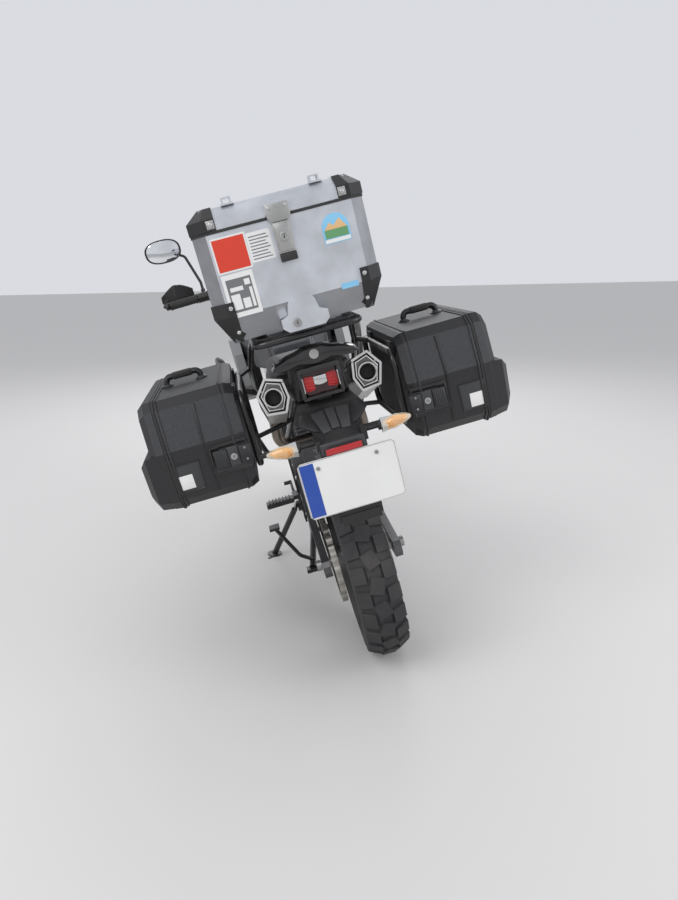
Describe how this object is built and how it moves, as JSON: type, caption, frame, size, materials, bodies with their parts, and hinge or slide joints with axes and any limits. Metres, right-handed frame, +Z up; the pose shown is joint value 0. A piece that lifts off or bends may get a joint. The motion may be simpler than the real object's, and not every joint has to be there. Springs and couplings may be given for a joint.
{
  "type": "adventure motorcycle",
  "caption": "Adventure motorcycle with spoked wheels, twin high mufflers, an aluminium top case and two hard panniers, parked leaning on its side stand.",
  "frame": {"origin": "middle of the bounding box on the ground, with the machine parked on its side stand", "axes": "+Y forward along the wheels, +X to the rider's right, +Z up; the machine leans 13.5 degrees to its left"},
  "size_m": [1.1258, 2.2448, 1.4995],
  "materials": {
    "frame_black": "satin black",
    "engine_grey": "matt dark grey",
    "stainless": "brushed",
    "muffler_steel": "brushed with polished end rings",
    "tank_paint": "gloss dark grey",
    "panel_grey": "textured",
    "black_plastic": "fine grain",
    "pannier_plastic": "leather grain",
    "seat_cover": "vinyl",
    "lamp_red": "clear lens",
    "plate_white": "blank",
    "clear_screen": "clear",
    "clear_lens": "clear",
    "radiator_black": "matt",
    "alloy": "satin",
    "case_alloy": "brushed sheet",
    "steel": "machined",
    "chain_steel": "oiled",
    "tyre": "dusty",
    "mirror_black": "gloss"
  },
  "bodies": {
    "chassis": {"chain": "chain_steel", "engine": "engine_grey", "engine_guard_left": "frame_black", "engine_guard_right": "frame_black", "exhaust_pipes": "stainless", "frame": "frame_black", "front_fairing": "black_plastic", "fuel_tank": "tank_paint", "headlamp": "clear_lens", "left_pannier_body": "pannier_plastic", "luggage_rack": "frame_black", "muffler_left": "muffler_steel", "muffler_right": "muffler_steel", "number_plate": "plate_white", "pannier_racks": "frame_black", "radiator": "radiator_black", "rear_axle": "steel", "rear_mudguard": "black_plastic", "rear_shock": "steel", "right_pannier_body": "pannier_plastic", "seat": "seat_cover", "side_panel_left": "panel_grey", "side_panel_right": "panel_grey", "skid_plate": "alloy", "swingarm": "alloy", "tail_cover": "black_plastic", "tail_lamp": "lamp_red", "top_case_body": "case_alloy", "windscreen": "clear_screen"},
    "steering": {"fork": "alloy", "fork_slider_left": "alloy", "fork_slider_right": "alloy", "handlebar": "black_plastic", "hand_guard_left": "black_plastic", "hand_guard_right": "black_plastic", "mirror_left": "mirror_black", "mirror_right": "mirror_black", "front_mudguard": "black_plastic", "front_axle": "steel"},
    "front_wheel": {"front_tyre": "tyre", "front_wheel": "alloy", "front_disc_left": "steel", "front_disc_right": "steel"},
    "rear_wheel": {"rear_tyre": "tyre", "rear_wheel": "alloy", "rear_disc": "steel", "rear_sprocket": "steel"},
    "side_stand": {"side_stand": "frame_black"},
    "centre_stand": {"centre_stand": "frame_black"},
    "top_case_lid": {"top_case_lid": "case_alloy"},
    "left_pannier_lid": {"left_pannier_lid": "pannier_plastic"},
    "right_pannier_lid": {"right_pannier_lid": "pannier_plastic"}
  },
  "joints": [
    {"name": "steering_head", "type": "hinge", "parent": "chassis", "child": "steering", "pos_m": [0.02031, 0.44042, 0.82407], "axis": [-0.2061, -0.469, 0.8588], "range_deg": [-38, 38]},
    {"name": "front_wheel_spin", "type": "hinge", "parent": "steering", "child": "front_wheel", "pos_m": [0.13598, 0.77551, 0.34207], "axis": [0.9724, 0.0001, 0.2334], "continuous": true},
    {"name": "rear_wheel_spin", "type": "hinge", "parent": "chassis", "child": "rear_wheel", "pos_m": [0.14245, -0.7245, 0.31592], "axis": [0.9724, 0.0001, 0.2334], "continuous": true},
    {"name": "side_stand_pivot", "type": "hinge", "parent": "chassis", "child": "side_stand", "pos_m": [-0.00418, -0.06454, 0.24952], "axis": [-0.9398, 0.0169, 0.3413], "range_deg": [0, 111.6]},
    {"name": "centre_stand_pivot", "type": "hinge", "parent": "chassis", "child": "centre_stand", "pos_m": [0.15296, -0.16452, 0.27187], "axis": [0.9724, 0.0001, 0.2334], "range_deg": [0, 78]},
    {"name": "top_case_lid_hinge", "type": "hinge", "parent": "chassis", "child": "top_case_lid", "pos_m": [-0.10033, -0.58698, 1.32711], "axis": [-0.9724, -0.0001, -0.2334], "range_deg": [0, 75]},
    {"name": "left_pannier_lid_hinge", "type": "hinge", "parent": "chassis", "child": "left_pannier_lid", "pos_m": [-0.37993, -0.66938, 0.55556], "axis": [0, -1, 0.0005], "range_deg": [0, 90]},
    {"name": "right_pannier_lid_hinge", "type": "hinge", "parent": "chassis", "child": "right_pannier_lid", "pos_m": [0.49909, -0.66927, 0.7666], "axis": [0, 1, -0.0005], "range_deg": [0, 90]}
  ]
}
